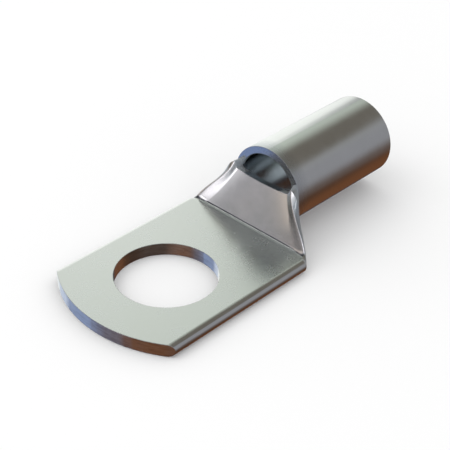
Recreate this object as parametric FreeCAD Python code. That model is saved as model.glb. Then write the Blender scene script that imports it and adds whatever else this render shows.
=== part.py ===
import FreeCAD, Part
import math
import os

# Copper cable lug for an M16 bolt: one length of tube, open at the rear as the crimp barrel and
# pressed flat at the front as the bolted palm. The press shears the top wall across the neck and
# pushes it down into a ramp, which leaves the sight opening in front of the barrel's cut face.
# The origin is on the bolt hole's axis, on the underside of the palm. X runs back along the barrel,
# Y is across the palm and Z is up. All sizes are in millimetres and all angles in degrees.
# A reach is a place along X, and a half width is a place along Y on both sides.

# Palm
bolt_hole_diameter = 17.0
palm_width = 27.4
palm_thickness = 2.25
palm_front_reach = 15.9
palm_front_radius = 22.5

# Barrel
barrel_outer_diameter = 14.4
barrel_wall = 1.5
barrel_lift = 1.2
barrel_mouth_reach = 48.4
mouth_chamfer = 0.3
mouth_lead_in = 0.5

# Neck, from the bend at the palm up to the barrel's cut face
bend_reach = 18.95
neck_length = 4.55
flank_lead = 0.5
flank_ease = 0.5
bend_radius = 0.6
ramp_wall = 1.25
press_step = 0.08
bore_ease = 0.2

# Sheared end of the ramp, below the sight opening and just ahead of the barrel's cut face
lip_setback = 1.3
lip_rise = 1.2
lip_tilt = 9.0

# Folds where the flanks turn over into the ramp: their crest inside the tube, then forward to the lip
neck_crest_inset = 0.4
neck_crest_angle = 25.0
neck_fold_angle = 148.0
lip_crest_spread = 0.4
lip_crest_drop = 0.25
crest_ease = 0.8
crest_climb = 0.85
fold_width = 1.1
dish_pinch = 0.6
dish_lift = 0.35

# Hollow left inside the neck, from a slit between the pressed walls to the lower bore
slit_depth = 0.05
slit_height = 0.2
slit_margin = 4.7
slit_corner = 0.95
slit_foot_angle = 2.0
bore_rim_angle = -20.0
bore_roof_inset = 0.5
bore_roof_angle = 160.0

# Stations along each lofted piece
loft_steps = 4

# Derived places
half_palm = palm_width / 2
edge_radius = palm_thickness / 2
edge_rise = edge_radius * math.sin(math.radians(45))
barrel_radius = barrel_outer_diameter / 2
bore_radius = barrel_radius - barrel_wall
axis_height = barrel_lift + barrel_radius
neck_radius = barrel_radius - press_step
hollow_radius = bore_radius + press_step
foot_share = math.cos(math.radians(45))
flank_reach = bend_reach - flank_lead
neck_reach = bend_reach + neck_length
lip_reach = neck_reach - lip_setback
lip_height = axis_height + lip_rise
tilt = math.radians(lip_tilt)

# Folds at the barrel's cut face, which the lip's are set off from
neck_crest_radius = barrel_radius - neck_crest_inset
neck_crest_half_width = neck_crest_radius * math.cos(math.radians(neck_crest_angle))
neck_crest_rise = neck_crest_radius * math.sin(math.radians(neck_crest_angle))
lip_crest_half_width = neck_crest_half_width + lip_crest_spread
lip_crest_rise = neck_crest_rise - lip_crest_drop

# The ramp is the straight line from the lip that touches the bend's arc
lip_run = lip_reach - bend_reach
lip_climb = lip_height - palm_thickness - bend_radius
ramp = math.atan2(lip_climb, lip_run) + math.asin(bend_radius / math.hypot(lip_run, lip_climb))
bend_end = bend_reach + bend_radius * math.sin(ramp)
bend_rise = bend_radius * (1 - math.cos(ramp))
hollow_reach = bend_end + (ramp_wall / math.cos(ramp) - bend_rise - slit_depth) / math.tan(ramp)
slit_rise = palm_thickness - slit_depth
slit_half_width = half_palm - slit_margin


def blend(start, end, share):
    return start + (end - start) * share


def share_of(start, end, x):
    """How far x lies along the way from start to end, from 0 to 1."""
    return min(1.0, max(0.0, (x - start) / (end - start)))


def ease(share):
    return share * share * (3 - 2 * share)


def spread(start, end, steps):
    return [blend(start, end, step / steps) for step in range(steps + 1)]


def curve(start, start_angle, end, end_angle):
    """Poles of a smooth edge between two (y, z) points with the given directions at its ends."""
    chord = math.hypot(end[0] - start[0], end[1] - start[1])
    chord_angle = math.degrees(math.atan2(end[1] - start[1], end[0] - start[0]))
    turns = [abs((angle - chord_angle + 180) % 360 - 180) for angle in (start_angle, end_angle)]
    half_turn = math.radians(max(sum(turns) / 2, 0.01))
    handle = chord * 2 / 3 * math.tan(half_turn / 2) / math.sin(half_turn)
    leave = math.radians(start_angle)
    arrive = math.radians(end_angle)
    return [
        start,
        (start[0] + handle * math.cos(leave), start[1] + handle * math.sin(leave)),
        (end[0] - handle * math.cos(arrive), end[1] - handle * math.sin(arrive)),
        end,
    ]


def crowned(corner, centre_height):
    """Poles of an edge from a right-hand corner to its mirror image, through the centre height."""
    y, z = corner
    handle_height = z + (centre_height - z) * 4 / 3
    return [corner, (y / 3, handle_height), (-y / 3, handle_height), (-y, z)]


def foot_at(reach, angle, keel):
    """Point where a round bottom that starts level at the keel height has risen to the angle."""
    return reach, keel + reach * math.tan(math.radians(angle / 2))


def closed_outline(x, foot, foot_angle, right, top):
    """Symmetric outline at x: the bottom from foot to foot, the right side, the top, the left side."""
    under = curve((-foot[0], foot[1]), -foot_angle, foot, foot_angle)
    left = [[(-y, z) for y, z in reversed(poles)] for poles in reversed(right)]
    edges = []
    for poles in [under] + right + [top] + left:
        places = [FreeCAD.Vector(x, y, z) for y, z in poles]
        if max(z for y, z in poles) == min(z for y, z in poles):
            edges.append(Part.makeLine(places[0], places[-1]))
        else:
            bezier = Part.BezierCurve()
            bezier.setPoles(places)
            edges.append(bezier.toShape())
    return Part.Wire(edges)


def ramp_height(x):
    """Height of the pressed wall's top on the centre line: palm, bend, then the straight ramp."""
    if x <= bend_reach:
        return palm_thickness
    if x <= bend_end:
        return palm_thickness + bend_radius - math.sqrt(bend_radius ** 2 - (x - bend_reach) ** 2)
    return palm_thickness + bend_rise + (x - bend_end) * math.tan(ramp)


def roof_height(x):
    """Height of the pressed wall's underside on the centre line."""
    return ramp_height(x) - ramp_wall / math.cos(ramp)


def top_height(x):
    """Height of the top face on the centre line: the ramp, then the sheared end behind its lip."""
    return min(ramp_height(x), ramp_height(lip_reach) - (x - lip_reach) * math.tan(tilt))


def flank_taper(start, x):
    """Share of the way from the palm's width to the tube's, drawn in from the start reach."""
    share = share_of(start, neck_reach, x)
    return blend(share, ease(share), flank_ease)


def flank_half_width(x):
    return blend(half_palm, neck_radius, flank_taper(flank_reach, x))


def past_lip(at_lip, at_neck, x):
    """Value at x between the lip and the barrel's cut face, and the one at the lip before that."""
    return blend(at_lip, at_neck, share_of(lip_reach, neck_reach, x))


def neck_section(x):
    """Closed outline across the lug at x, from the flat palm to the pressed end of the tube."""
    share = share_of(bend_reach, neck_reach, x)
    rise = share_of(bend_reach, lip_reach, x)
    half_width = flank_half_width(x)
    shoulder = flank_half_width(min(x, bend_reach))
    flat = shoulder - edge_radius
    edge_drop = edge_radius - edge_rise
    crest_half_width = past_lip(lip_crest_half_width, neck_crest_half_width, x)

    foot_angle = blend(0, 45, ease(share))
    foot_reach = blend(flat, neck_radius * foot_share, flank_taper(bend_reach, x))
    keel = blend(0, axis_height - neck_radius, ease(share))
    foot = foot_at(foot_reach, foot_angle, keel)
    dish = (
        blend(flat, crest_half_width - fold_width, rise ** dish_pinch),
        top_height(x) + dish_lift * rise,
    )
    crest_over_ramp = blend(-edge_drop, lip_crest_rise - lip_rise, rise ** crest_climb)
    fold = (
        blend(shoulder - edge_drop, crest_half_width, blend(rise, ease(rise), crest_ease)),
        ramp_height(min(x, lip_reach)) + crest_over_ramp + past_lip(0, lip_crest_drop, x),
    )
    fold_angle = blend(135, neck_fold_angle, share)
    side = (half_width, blend(edge_radius, axis_height, share))

    top = crowned(dish, top_height(x))
    dish_angle = math.degrees(math.atan2(top[1][1] - dish[1], top[1][0] - dish[0])) % 360
    right = [
        curve(foot, foot_angle, side, 90),
        curve(side, 90, fold, fold_angle),
        curve(fold, fold_angle, dish, dish_angle),
    ]
    return closed_outline(x, foot, foot_angle, right, top)


def hollow_section(x):
    """Closed outline of the hollow at x, open to the bore behind and hidden under the ramp."""
    share = share_of(hollow_reach, neck_reach, x)
    foot_angle = blend(slit_foot_angle, 45, share)
    foot_reach = blend(slit_half_width - slit_corner, hollow_radius * foot_share, share)
    floor = blend(slit_rise - slit_height, axis_height - hollow_radius, share)
    foot = foot_at(foot_reach, foot_angle, floor)
    bore_rim = math.radians(bore_rim_angle)
    rim = (
        blend(slit_half_width, hollow_radius * math.cos(bore_rim), share),
        blend(slit_rise - slit_height / 2, axis_height + hollow_radius * math.sin(bore_rim), share),
    )
    rim_angle = blend(90, 90 + bore_rim_angle, share)
    bore_roof = neck_crest_half_width - fold_width - bore_roof_inset
    roof = (blend(slit_half_width - slit_corner, bore_roof, share), roof_height(x))
    roof_angle = blend(180, bore_roof_angle, share)
    right = [curve(foot, foot_angle, rim, rim_angle), curve(rim, rim_angle, roof, roof_angle)]
    return closed_outline(x, foot, foot_angle, right, [roof, (-roof[0], roof[1])])


def loft_through(section, stations, ruled=False):
    return Part.makeLoft([section(x) for x in stations], True, ruled)


def make_palm():
    """Flat palm with rolled side edges, cut to an arc at the front and punched for the bolt."""
    section = Part.Face(neck_section(flank_reach))
    plate = section.extrude(FreeCAD.Vector(-palm_front_reach - flank_reach, 0, 0))
    arc_centre = palm_front_radius - palm_front_reach
    front = Part.makeCylinder(palm_front_radius, palm_thickness, FreeCAD.Vector(arc_centre, 0, 0))
    rear = Part.makeBox(flank_reach - arc_centre, palm_width, palm_thickness,
                        FreeCAD.Vector(arc_centre, -half_palm, 0))
    hole = Part.makeCylinder(bolt_hole_diameter / 2, palm_thickness)
    return plate.common(front.fuse(rear).removeSplitter()).cut(hole)


def make_neck():
    """Shoulder, bend and hollow ramp, with the folds running on beside its sheared end."""
    shoulder = loft_through(neck_section, spread(flank_reach, bend_reach, loft_steps))
    angles = spread(0, ramp, loft_steps)
    bend_stations = [bend_reach + bend_radius * math.sin(angle) for angle in angles]
    bend = loft_through(neck_section, bend_stations)
    rise = loft_through(neck_section, spread(bend_end, lip_reach, loft_steps))
    tail = loft_through(neck_section, [lip_reach, neck_reach], True)
    hollow = loft_through(hollow_section, spread(hollow_reach, neck_reach, loft_steps))
    pressed = rise.fuse(tail).cut(hollow)
    return [shoulder, bend, pressed]


def make_barrel():
    """Round tube with its cut front face, and a lead-in and a chamfer at its mouth."""
    outer = axis_height + barrel_radius
    inner = axis_height + bore_radius
    mouth = barrel_mouth_reach
    corners = [
        (neck_reach, outer),
        (mouth - mouth_chamfer, outer),
        (mouth, outer - mouth_chamfer),
        (mouth, inner + mouth_lead_in),
        (mouth - mouth_lead_in, inner),
        (neck_reach + bore_ease, inner),
        (neck_reach, inner + bore_ease),
        (neck_reach, outer),
    ]
    wall = Part.Face(Part.makePolygon([FreeCAD.Vector(x, 0, z) for x, z in corners]))
    return wall.revolve(FreeCAD.Vector(0, 0, axis_height), FreeCAD.Vector(1, 0, 0), 360)


os.makedirs("parts", exist_ok=True)
lug = make_palm().fuse(make_neck() + [make_barrel()]).Solids[0]
lug.exportStep("parts/lug_body.step")
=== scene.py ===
import math

import bmesh
import bpy
from mathutils import Matrix, Vector

# A tin-plated copper cable lug on a pale floor, in a small studio of soft light.
# Lengths are in metres and angles in degrees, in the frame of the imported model.

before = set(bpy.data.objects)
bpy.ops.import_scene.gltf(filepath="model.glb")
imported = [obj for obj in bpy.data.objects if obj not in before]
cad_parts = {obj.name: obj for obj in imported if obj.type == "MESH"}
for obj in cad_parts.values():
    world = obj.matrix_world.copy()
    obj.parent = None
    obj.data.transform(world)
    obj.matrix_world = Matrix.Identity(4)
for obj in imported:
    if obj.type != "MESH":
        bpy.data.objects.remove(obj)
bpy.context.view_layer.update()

# Camera, at the photograph's viewing angle
camera_azimuth = 47.09
camera_elevation = 34.69
camera_roll = 1.48
camera_distance = 0.209
camera_near = 0.005
camera_far = 20
focal_length_mm = 100.23
view_centre_x = 0.015
framing_right = -0.00101
framing_up = 0.00189

# The lug's own sizes, where its finish depends on them
bolt_hole_radius = 0.0085
palm_thickness = 0.00225
palm_front_x = -0.0112
bend_x = 0.01895
lip_x = 0.0222
cut_face_x = 0.0235
barrel_axis_z = 0.0084
bore_radius = 0.00595
barrel_radius = 0.0072
opening_half_width = 0.0044
neck_half_width = 0.0137
neck_taper = 1.5

# Limits of the finishes. Each pair is where a mask starts to change and where it has changed.
hole_wall = (bolt_hole_radius + 0.00002, bolt_hole_radius + 0.00008)
front_edge = (palm_front_x - 0.0001, palm_front_x)
palm_end = (bend_x - 0.0008, bend_x)
neck_start = (bend_x, bend_x + 0.0006)
neck_end = (cut_face_x, cut_face_x + 0.003)
lip_edge = (lip_x - 0.00004, lip_x)
opening_side = (opening_half_width - 0.0008, opening_half_width)
bore_wall = (bore_radius, bore_radius + 0.00004)
ring_edge = (barrel_radius - 0.0002, barrel_radius)
ahead_of_cut = (cut_face_x - 0.0001, cut_face_x)
near_cut = (0.00001, 0.00004)
barrel_start = (cut_face_x, cut_face_x + 0.0005)

# The same for directions, as parts of the surface's normal along one axis
mostly_across = (0.2, 0.5)
fully_along = (0.9, 0.98)
ramp_forward = (-0.6, -0.75)
ramp_upward = (0.05, 0.2)

# Colours of the plate and how strongly they show
dark_tin = (0.80, 0.80, 0.78)
light_tin = (0.84, 0.84, 0.83)
# Greyer tin for the duller cut end and folds. In the bore the same colour is painted shade that darkens
# the inside of the barrel.
dull_tin_and_bore_shade = (0.50, 0.53, 0.56)
# Painted highlight: paler tin on the corners between the lip and the ring, so that they show lit.
corner_highlight_tin = (0.93, 0.95, 0.97)
streak_colour = (0.42, 0.40, 0.40)
cut_dullness = 0.5
fold_dullness = 0.55
streak_range = (0.45, 0.65)
streak_strength = 0.4

# Mottled tone and gloss, in noise scales per metre
mottle_scale = (260, 260, 260)
fine_mottle_scale = (900, 900, 900)
fine_mottle_share = 0.4
mottle_detail = 1
mottle_range = (0.3, 0.7)
roughness_range = (0.17, 0.22)
extra_roughness = {"palm": 0.07, "bore": -0.02, "fold": 0.12, "corner": 0.5}

# Rounded edges, and the shallow dish across the ramp
edge_roundness = 0.00012
edge_samples = 6
dish_slope = 0.155
dish_start = 0.05
dish_power = 3

# Marks in the plate: the place that has them, their noise scale per metre along X, Y and Z, its
# detail, their strength and their depth. They are waves everywhere, drawing lines on the barrel,
# streaks and slow waves on sheared faces, and saw marks on the barrel's cut end.
shear_scale = (420, 420, 3200)
shear_detail = 2
marks = (
    ("everywhere", (420, 420, 420), 2, 0.045, 0.00002),
    ("barrel", (60, 4200, 4200), 3, 0.08, 0.00001),
    ("sheared", shear_scale, shear_detail, 0.25, 0.00003),
    ("sheared", (420, 420, 40), 1, 1.0, 0.00012),
    ("cut_end", (400, 700, 5200), 3, 0.12, 0.00002),
)

# Floor and world
floor_depth = 0.00015
floor_half_width = 2.5
floor_colour = (0.93, 0.93, 0.93)
world_colour = (1, 1, 1)
world_strength = 1.0

# Lamp that draws the soft shadow on the floor
lamp_place = (-0.25, 0.35, 0.6)
lamp_size = 0.45
lamp_power = 0.6

# Light that the polished metal mirrors, by direction as seen from the lug. Longitude runs from +X
# towards +Y. Each field is the longitude, latitude, half width and half height of its middle, how
# far it fades out in longitude and in latitude, and its colour. Later fields cover earlier ones.
dome_radius = 1.2
dome_step = 1.5
room_colour = (0.30, 0.31, 0.32)
light_fields = {
    "ceiling": (0, 90, 180, 50, 30, 14, (0.148, 0.137, 0.119)),
    "high_front": (96, 59, 34, 8, 26, 7, (0.170, 0.182, 0.194)),
    "overhead": (0, 90, 180, 12, 30, 13, (0.42, 0.44, 0.42)),
    "front_wall": (-128, 12, 56, 19, 24, 18, (0.308, 0.338, 0.381)),
    "side_wall": (144, 18, 16, 7, 12, 15, (0.36, 0.345, 0.39)),
    "side_low": (146, -14, 14, 8, 11, 6, (0.04, 0.036, 0.038)),
    "side_window": (167, 1, 4, 8, 13, 9, (1.70, 1.66, 1.77)),
    "fold_streak": (-177, 13, 6, 6, 6, 6, (0.66, 0.69, 0.74)),
    "fold_gleam": (-139, 22, 8, 6, 8, 6, (1.30, 1.35, 1.40)),
    "side_band": (139, 28, 20, 9, 8, 7, (0.03, 0.034, 0.045)),
    "bend_window": (127, 47, 8, 3, 6, 3, (1.40, 1.43, 1.37)),
    "warm_wall": (133, 0, 6, 7, 6, 6, (0.68, 0.60, 0.55)),
    "fold_shade": (113, 5, 9, 8, 7, 11, (0.12, 0.105, 0.08)),
    "left_wall": (93, -3, 12, 9, 8, 11, (0.50, 0.54, 0.58)),
    "far_wall": (-61, 1, 15, 17, 22, 15, (0.279, 0.285, 0.310)),
    "far_base": (-49, -28, 21, 4, 15, 24, (0.125, 0.093, 0.081)),
    "ground": (0, -90, 180, 54, 30, 11, (0.150, 0.062, 0.029)),
    "bore_shade": (29, -43, 5, 6, 7, 6, (0.06, 0.065, 0.075)),
    "front_ground": (-89, -60, 39, 24, 34, 13, (0.056, 0.034, 0.024)),
    "side_ground": (148, -42, 11, 10, 13, 12, (0.155, 0.14, 0.17)),
    "blue_ground": (104, -46, 20, 15, 22, 18, (0.27, 0.34, 0.53)),
    "ring_glow": (136, -28, 10, 3, 8, 5, (0.25, 0.34, 0.59)),
    "pale_ground": (84, -40, 6, 14, 12, 14, (0.62, 0.70, 0.86)),
    "card": (55, 42, 13, 8, 39, 10, (0.575, 0.645, 0.58)),
    "back_glow": (57, -16, 11, 36, 10, 32, (1.04, 1.08, 1.05)),
}


def smooth(share):
    """Smooth step from 0 to 1."""
    share = min(1.0, max(0.0, share))
    return share * share * (3 - 2 * share)


def studio_light(direction):
    """Colour of the studio in one direction, from the room and the light fields over it."""
    longitude = math.degrees(math.atan2(direction.y, direction.x))
    latitude = math.degrees(math.asin(direction.z))
    colour = Vector(room_colour)
    for centre, height, half_width, half_height, fade_across, fade_up, light in light_fields.values():
        across = abs((longitude - centre + 180) % 360 - 180)
        upward = abs(latitude - height)
        share = 1 - smooth((across - half_width) / fade_across)
        share *= 1 - smooth((upward - half_height) / fade_up)
        colour = colour.lerp(Vector(light), share)
    return colour


class Nodes:
    """A new material, with short calls that add and link its nodes."""

    def __init__(self, name):
        self.material = bpy.data.materials.new(name)
        self.material.use_nodes = True
        self.tree = self.material.node_tree
        self.tree.nodes.clear()

    def add(self, kind, **settings):
        node = self.tree.nodes.new(kind)
        for name, value in settings.items():
            setattr(node, name, value)
        return node

    def feed(self, socket, value):
        """Gives a socket another node's output or a plain value."""
        if isinstance(value, bpy.types.NodeSocket):
            self.tree.links.new(value, socket)
        else:
            socket.default_value = value

    def finish(self, shader):
        """Makes the shader the material's surface."""
        output = self.add("ShaderNodeOutputMaterial")
        self.feed(output.inputs["Surface"], shader.outputs[0])
        return self.material

    def split(self, vector):
        node = self.add("ShaderNodeSeparateXYZ")
        self.feed(node.inputs[0], vector)
        return node.outputs

    def math(self, operation, first, second=0):
        node = self.add("ShaderNodeMath", operation=operation)
        self.feed(node.inputs[0], first)
        self.feed(node.inputs[1], second)
        return node.outputs[0]

    def product(self, first, *others):
        for other in others:
            first = self.math("MULTIPLY", first, other)
        return first

    def opposite(self, mask):
        return self.math("SUBTRACT", 1, mask)

    def length(self, first, second):
        squares = self.math("ADD", self.product(first, first), self.product(second, second))
        return self.math("SQRT", squares)

    def ramp(self, value, limits, results):
        """Value taken from one range to another, and held at its ends."""
        node = self.add("ShaderNodeMapRange", clamp=True)
        self.feed(node.inputs[0], value)
        for socket, number in zip(node.inputs[1:5], (*limits, *results)):
            self.feed(socket, number)
        return node.outputs[0]

    def rise(self, value, limits):
        return self.ramp(value, limits, (0, 1))

    def fall(self, value, limits):
        return self.ramp(value, limits, (1, 0))

    def mix(self, share, first, second):
        """Colour between two others, each of them a plain colour or another node's output."""
        node = self.add("ShaderNodeMix", data_type="RGBA")
        self.feed(node.inputs["Factor"], share)
        for name, colour in (("A", first), ("B", second)):
            plain = isinstance(colour, tuple)
            self.feed(node.inputs[name], (*colour, 1) if plain else colour)
        return node.outputs["Result"]

    def noise(self, place, scale, detail):
        mapping = self.add("ShaderNodeMapping")
        self.feed(mapping.inputs["Scale"], scale)
        self.feed(mapping.inputs["Vector"], place)
        node = self.add("ShaderNodeTexNoise")
        self.feed(node.inputs["Scale"], 1)
        self.feed(node.inputs["Detail"], detail)
        self.feed(node.inputs["Vector"], mapping.outputs[0])
        return node.outputs[0]

    def bump(self, height, strength, depth, normal):
        """Normal with relief on top of the one below it."""
        node = self.add("ShaderNodeBump")
        self.feed(node.inputs["Height"], height)
        self.feed(node.inputs["Strength"], strength)
        self.feed(node.inputs["Distance"], depth)
        self.feed(node.inputs["Normal"], normal)
        return node.outputs[0]


def find_zones(nodes, place, facing):
    """Masks, from 0 to 1, of the places on the lug that have their own finish."""
    x, y, z = nodes.split(place)
    facing_x, _, facing_z = nodes.split(facing)
    level = nodes.math("ABSOLUTE", facing_z)
    lengthwise = nodes.math("ABSOLUTE", facing_x)
    from_cut = nodes.math("ABSOLUTE", nodes.math("SUBTRACT", x, cut_face_x))
    from_axis = nodes.length(y, nodes.math("SUBTRACT", z, barrel_axis_z))

    # Sheared faces, which are the hole's wall and the palm's front edge, the barrel's cut end, the
    # palm's flat faces and the ramp
    in_hole = nodes.fall(nodes.length(x, y), hole_wall)
    at_front = nodes.fall(x, front_edge)
    sheared = nodes.product(nodes.fall(level, mostly_across), nodes.math("MAXIMUM", in_hole, at_front))
    cut_end = nodes.product(nodes.rise(lengthwise, fully_along), nodes.fall(from_cut, near_cut))
    palm = nodes.product(nodes.fall(x, palm_end), nodes.rise(level, fully_along))
    ramp = nodes.product(nodes.rise(facing_x, ramp_forward), nodes.rise(facing_z, ramp_upward))

    # Round the sight opening: the bore seen through it, and the corners between the lip and the ring
    past_lip = nodes.rise(x, lip_edge)
    near_axis = nodes.fall(from_axis, bore_wall)
    beside = nodes.math("ABSOLUTE", y)
    inside = nodes.math("MAXIMUM", nodes.rise(x, ahead_of_cut), nodes.fall(beside, opening_side))
    bore = nodes.product(past_lip, near_axis, inside)
    corner = nodes.product(past_lip, nodes.fall(from_axis, ring_edge), nodes.opposite(inside))

    # The folds: what is left of the neck beside the ramp
    neck = nodes.product(nodes.rise(x, neck_start), nodes.fall(x, neck_end))
    fold = nodes.product(neck, nodes.opposite(ramp), nodes.opposite(near_axis), nodes.opposite(cut_end))
    return {"sheared": sheared, "cut_end": cut_end, "palm": palm, "ramp": ramp, "bore": bore,
            "corner": corner, "fold": fold, "barrel": nodes.rise(x, barrel_start)}


def plate_colour(nodes, place, zones, mottle):
    """Mottled tin, duller on the cut end and the folds, streaked where it is sheared, with painted shade
    darkening the bore and a painted highlight paling the corners by the opening.
    """
    colour = nodes.mix(nodes.rise(mottle, mottle_range), dark_tin, light_tin)
    dullness_and_bore_shade = nodes.math("MAXIMUM", nodes.product(zones["cut_end"], cut_dullness),
                          nodes.product(zones["fold"], fold_dullness))
    # In the bore this darkening is painted shade, not a duller plate.
    dullness_and_bore_shade = nodes.math("MAXIMUM", zones["bore"], dullness_and_bore_shade)
    colour = nodes.mix(dullness_and_bore_shade, colour, dull_tin_and_bore_shade)
    # Painted highlight on the corners between the lip and the ring.
    colour = nodes.mix(zones["corner"], colour, corner_highlight_tin)
    shearing = nodes.noise(place, shear_scale, shear_detail)
    streaks = nodes.ramp(shearing, streak_range, (0, streak_strength))
    return nodes.mix(nodes.product(zones["sheared"], streaks), colour, streak_colour)


def plate_roughness(nodes, zones, mottle):
    """Satin gloss that varies with the mottle and from place to place."""
    roughness = nodes.ramp(mottle, mottle_range, roughness_range)
    for zone, extra in extra_roughness.items():
        roughness = nodes.math("ADD", roughness, nodes.product(zones[zone], extra))
    return roughness


def ramp_dish(nodes, place):
    """Height of the shallow dish across the ramp. It is flat in the middle and rises to the folds."""
    x, y, _ = nodes.split(place)
    narrowing = nodes.product(nodes.math("SUBTRACT", x, bend_x), neck_taper)
    half_width = nodes.math("SUBTRACT", neck_half_width, narrowing)
    share = nodes.math("DIVIDE", nodes.math("ABSOLUTE", y), half_width)
    share = nodes.math("MAXIMUM", nodes.math("SUBTRACT", share, dish_start), 0)
    slope_at_side = dish_power * (1 - dish_start) ** (dish_power - 1)
    return nodes.product(nodes.math("POWER", share, dish_power), half_width, dish_slope / slope_at_side)


def plate_relief(nodes, place, zones):
    """Normal with the rounded edges, the ramp's dish and the marks on top of each other."""
    bevel = nodes.add("ShaderNodeBevel", samples=edge_samples)
    nodes.feed(bevel.inputs["Radius"], edge_roundness)
    normal = nodes.bump(ramp_dish(nodes, place), zones["ramp"], 1, bevel.outputs[0])
    for zone, scale, detail, strength, depth in marks:
        if zone in zones:
            strength = nodes.product(zones[zone], strength)
        normal = nodes.bump(nodes.noise(place, scale, detail), strength, depth, normal)
    return normal


def tinned_copper():
    """Satin tin plate with the marks of drawing, pressing, shearing and sawing."""
    nodes = Nodes("tinned_copper")
    surface = nodes.add("ShaderNodeTexCoord")
    place = surface.outputs["Object"]
    zones = find_zones(nodes, place, surface.outputs["Normal"])
    coarse = nodes.noise(place, mottle_scale, mottle_detail)
    fine = nodes.noise(place, fine_mottle_scale, mottle_detail)
    mottle = nodes.math("ADD", nodes.product(coarse, 1 - fine_mottle_share),
                        nodes.product(fine, fine_mottle_share))
    shader = nodes.add("ShaderNodeBsdfPrincipled")
    nodes.feed(shader.inputs["Metallic"], 1)
    nodes.feed(shader.inputs["Base Color"], plate_colour(nodes, place, zones, mottle))
    nodes.feed(shader.inputs["Roughness"], plate_roughness(nodes, zones, mottle))
    nodes.feed(shader.inputs["Normal"], plate_relief(nodes, place, zones))
    return nodes.finish(shader)


def make_object(name, shape, material):
    """New object with the bmesh shape and the material."""
    mesh = bpy.data.meshes.new(name)
    shape.to_mesh(mesh)
    shape.free()
    mesh.materials.append(material)
    piece = bpy.data.objects.new(name, mesh)
    bpy.context.scene.collection.objects.link(piece)
    return piece


def make_floor():
    """Plain pale floor just under the lug. It takes the shadow and isn't mirrored in the metal."""
    nodes = Nodes("floor_paper")
    paper = nodes.add("ShaderNodeBsdfDiffuse")
    nodes.feed(paper.inputs["Color"], (*floor_colour, 1))
    shape = bmesh.new()
    bmesh.ops.create_grid(shape, x_segments=1, y_segments=1, size=floor_half_width)
    floor = make_object("floor", shape, nodes.finish(paper))
    floor.location.z = -floor_depth
    floor.visible_glossy = False


def make_dome():
    """Soft light of the studio, seen only by the metal's reflections."""
    nodes = Nodes("studio_light")
    glow = nodes.add("ShaderNodeEmission")
    light = nodes.add("ShaderNodeAttribute", attribute_name="light")
    nodes.feed(glow.inputs["Color"], light.outputs["Color"])
    shape = bmesh.new()
    bmesh.ops.create_uvsphere(shape, u_segments=round(360 / dome_step), v_segments=round(180 / dome_step),
                              radius=dome_radius)
    dome = make_object("studio_dome", shape, nodes.finish(glow))
    colours = dome.data.color_attributes.new("light", "FLOAT_COLOR", "POINT")
    for vertex, colour in zip(dome.data.vertices, colours.data):
        colour.color = (*studio_light(vertex.co.normalized()), 1)
    dome.location.x = view_centre_x
    dome.visible_camera = False
    dome.visible_diffuse = False
    dome.visible_transmission = False
    dome.visible_volume_scatter = False
    dome.visible_shadow = False


def make_world():
    """Plain white surroundings, which are the picture's background and its even light."""
    world = bpy.data.worlds.new("pale_world")
    world.use_nodes = True
    background = world.node_tree.nodes["Background"]
    background.inputs["Color"].default_value = (*world_colour, 1)
    background.inputs["Strength"].default_value = world_strength
    bpy.context.scene.world = world


def make_lamp():
    """Soft lamp that points at the lug and isn't seen itself."""
    light = bpy.data.lights.new("soft_lamp", "AREA")
    light.size = lamp_size
    light.energy = lamp_power
    lamp = bpy.data.objects.new("soft_lamp", light)
    bpy.context.scene.collection.objects.link(lamp)
    lamp.location = lamp_place
    lamp.rotation_euler = (-Vector(lamp_place)).to_track_quat("-Z", "Y").to_euler()
    lamp.visible_camera = False
    lamp.visible_glossy = False


def make_camera():
    """Camera at the photograph's angle, distance and framing."""
    azimuth = math.radians(camera_azimuth)
    elevation = math.radians(camera_elevation)
    back = Vector((-math.cos(elevation) * math.sin(azimuth), -math.cos(elevation) * math.cos(azimuth),
                   math.sin(elevation)))
    level_right = Vector((0, 0, 1)).cross(back).normalized()
    right = Matrix.Rotation(math.radians(camera_roll), 3, back) @ level_right
    up = back.cross(right)
    target = Vector((view_centre_x, 0, palm_thickness)) + right * framing_right + up * framing_up
    lens = bpy.data.cameras.new("camera")
    lens.lens = focal_length_mm
    lens.clip_start = camera_near
    lens.clip_end = camera_far
    camera = bpy.data.objects.new("camera", lens)
    bpy.context.scene.collection.objects.link(camera)
    camera.matrix_world = Matrix((right, up, back)).transposed().to_4x4()
    camera.location = target + back * camera_distance
    bpy.context.scene.camera = camera


make_camera()
make_world()
make_floor()
make_dome()
make_lamp()

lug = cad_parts["lug_body"]
lug.material_slots[0].material = tinned_copper()

bpy.context.scene.view_settings.view_transform = "Standard"
